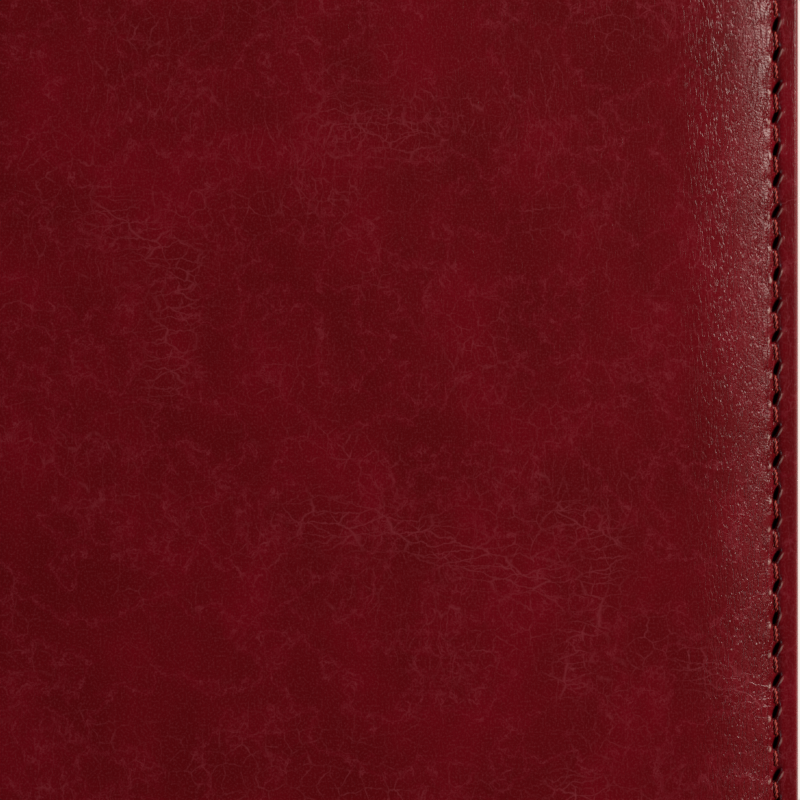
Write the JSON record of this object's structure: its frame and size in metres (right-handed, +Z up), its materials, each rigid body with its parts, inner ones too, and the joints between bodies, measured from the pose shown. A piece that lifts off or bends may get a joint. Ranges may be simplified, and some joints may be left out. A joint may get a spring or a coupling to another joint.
{
  "type": "coin album",
  "caption": "Padded leatherette ring album for coins, with stitched covers, a lever ring mechanism and pocket pages.",
  "frame": {"origin": "centre of the album's underside, the back cover's outer face, as it lies closed", "axes": "+Z up through the front cover, +X from the spine to the fore edge, +Y towards the head of the pages"},
  "size_m": [0.216, 0.235, 0.0382],
  "materials": {
    "leatherette": "satin",
    "joint_leatherette": "satin",
    "board": "matte",
    "foam": "matte",
    "lining": "matte",
    "thread": "satin",
    "mechanism_steel": "polished",
    "ring_steel": "polished",
    "spring_steel": "satin",
    "page_film": "gloss",
    "interleaf_card": "matte"
  },
  "bodies": {
    "back_cover": {"back_leather": "leatherette", "back_board": "board", "back_foam": "foam", "back_lining": "lining", "back_stitching": "thread"},
    "spine": {"spine_leather": "leatherette", "spine_board": "board", "spine_lining": "lining", "spine_stitching": "thread", "back_joint": "joint_leatherette", "front_joint": "joint_leatherette", "ring_cap": "mechanism_steel", "mechanism_rivets": "mechanism_steel", "trigger_pin_head": "spring_steel", "trigger_pin_tail": "spring_steel"},
    "front_cover": {"front_leather": "leatherette", "front_board": "board", "front_foam": "foam", "front_lining": "lining", "front_stitching": "thread"},
    "ring_arm_front": {"blade_front": "spring_steel", "ring_front_1": "ring_steel", "ring_front_2": "ring_steel", "ring_front_3": "ring_steel", "ring_front_4": "ring_steel"},
    "ring_arm_back": {"blade_back": "spring_steel", "ring_back_1": "ring_steel", "ring_back_2": "ring_steel", "ring_back_3": "ring_steel", "ring_back_4": "ring_steel"},
    "trigger_lever_head": {"trigger_head": "mechanism_steel"},
    "trigger_lever_tail": {"trigger_tail": "mechanism_steel"},
    "leaf_1": {"coin_page_1": "page_film", "interleaf_1": "interleaf_card"},
    "leaf_2": {"coin_page_2": "page_film", "interleaf_2": "interleaf_card"},
    "leaf_3": {"coin_page_3": "page_film", "interleaf_3": "interleaf_card"},
    "leaf_4": {"coin_page_4": "page_film", "interleaf_4": "interleaf_card"},
    "leaf_5": {"coin_page_5": "page_film", "interleaf_5": "interleaf_card"},
    "leaf_6": {"coin_page_6": "page_film", "interleaf_6": "interleaf_card"},
    "leaf_7": {"coin_page_7": "page_film", "interleaf_7": "interleaf_card"},
    "leaf_8": {"coin_page_8": "page_film", "interleaf_8": "interleaf_card"}
  },
  "joints": [
    {"name": "spine_fold", "type": "hinge", "parent": "back_cover", "child": "spine", "pos_m": [-0.10581, 0, 0.00279], "axis": [0, -1, 0], "range_deg": [0, 90], "deforming": ["back_joint"]},
    {"name": "front_cover_open", "type": "hinge", "parent": "spine", "child": "front_cover", "pos_m": [-0.10581, 0, 0.03541], "axis": [0, -1, 0], "range_deg": [0, 90], "deforming": ["front_joint"]},
    {"name": "trigger_head_press", "type": "hinge", "parent": "spine", "child": "trigger_lever_head", "pos_m": [-0.1012, 0.0924, 0.0191], "axis": [0, 0, 1], "range_deg": [0, 15]},
    {"name": "trigger_tail_press", "type": "hinge", "parent": "spine", "child": "trigger_lever_tail", "pos_m": [-0.1012, -0.0924, 0.0191], "axis": [0, 0, -1], "range_deg": [0, 15]},
    {"name": "ring_arm_front_swing", "type": "hinge", "parent": "spine", "child": "ring_arm_front", "pos_m": [-0.1018, 0, 0.0245], "axis": [0, -1, 0], "range_deg": [0, 9.5]},
    {"name": "ring_arm_back_swing", "type": "hinge", "parent": "spine", "child": "ring_arm_back", "pos_m": [-0.1018, 0, 0.0137], "axis": [0, 1, 0], "range_deg": [0, 9.5]},
    {"name": "leaf_1_turn", "type": "hinge", "parent": "spine", "child": "leaf_1", "pos_m": [-0.0928, 0, 0.0191], "axis": [0, -1, 0], "range_deg": [0, 93.61]},
    {"name": "leaf_2_turn", "type": "hinge", "parent": "spine", "child": "leaf_2", "pos_m": [-0.0928, 0, 0.0191], "axis": [0, -1, 0], "range_deg": [0, 92.26]},
    {"name": "leaf_3_turn", "type": "hinge", "parent": "spine", "child": "leaf_3", "pos_m": [-0.0928, 0, 0.0191], "axis": [0, -1, 0], "range_deg": [0, 90.91]},
    {"name": "leaf_4_turn", "type": "hinge", "parent": "spine", "child": "leaf_4", "pos_m": [-0.0928, 0, 0.0191], "axis": [0, -1, 0], "range_deg": [0, 89.56]},
    {"name": "leaf_5_turn", "type": "hinge", "parent": "spine", "child": "leaf_5", "pos_m": [-0.0928, 0, 0.0191], "axis": [0, 1, 0], "range_deg": [0, 84.61]},
    {"name": "leaf_6_turn", "type": "hinge", "parent": "spine", "child": "leaf_6", "pos_m": [-0.0928, 0, 0.0191], "axis": [0, 1, 0], "range_deg": [0, 85.96]},
    {"name": "leaf_7_turn", "type": "hinge", "parent": "spine", "child": "leaf_7", "pos_m": [-0.0928, 0, 0.0191], "axis": [0, 1, 0], "range_deg": [0, 87.31]},
    {"name": "leaf_8_turn", "type": "hinge", "parent": "spine", "child": "leaf_8", "pos_m": [-0.0928, 0, 0.0191], "axis": [0, 1, 0], "range_deg": [0, 88.66]}
  ],
  "couplings": [
    {"joint": "trigger_tail_press", "follows": "trigger_head_press", "ratio": 1},
    {"joint": "ring_arm_front_swing", "follows": "trigger_head_press", "ratio": 0.63333},
    {"joint": "ring_arm_back_swing", "follows": "trigger_head_press", "ratio": 0.63333},
    {"joint": "leaf_1_turn", "follows": "front_cover_open", "ratio": 1.04},
    {"joint": "leaf_2_turn", "follows": "front_cover_open", "ratio": 1.025},
    {"joint": "leaf_3_turn", "follows": "front_cover_open", "ratio": 1.01},
    {"joint": "leaf_4_turn", "follows": "front_cover_open", "ratio": 0.995},
    {"joint": "leaf_5_turn", "follows": "spine_fold", "ratio": 0.94},
    {"joint": "leaf_6_turn", "follows": "spine_fold", "ratio": 0.955},
    {"joint": "leaf_7_turn", "follows": "spine_fold", "ratio": 0.97},
    {"joint": "leaf_8_turn", "follows": "spine_fold", "ratio": 0.985}
  ]
}
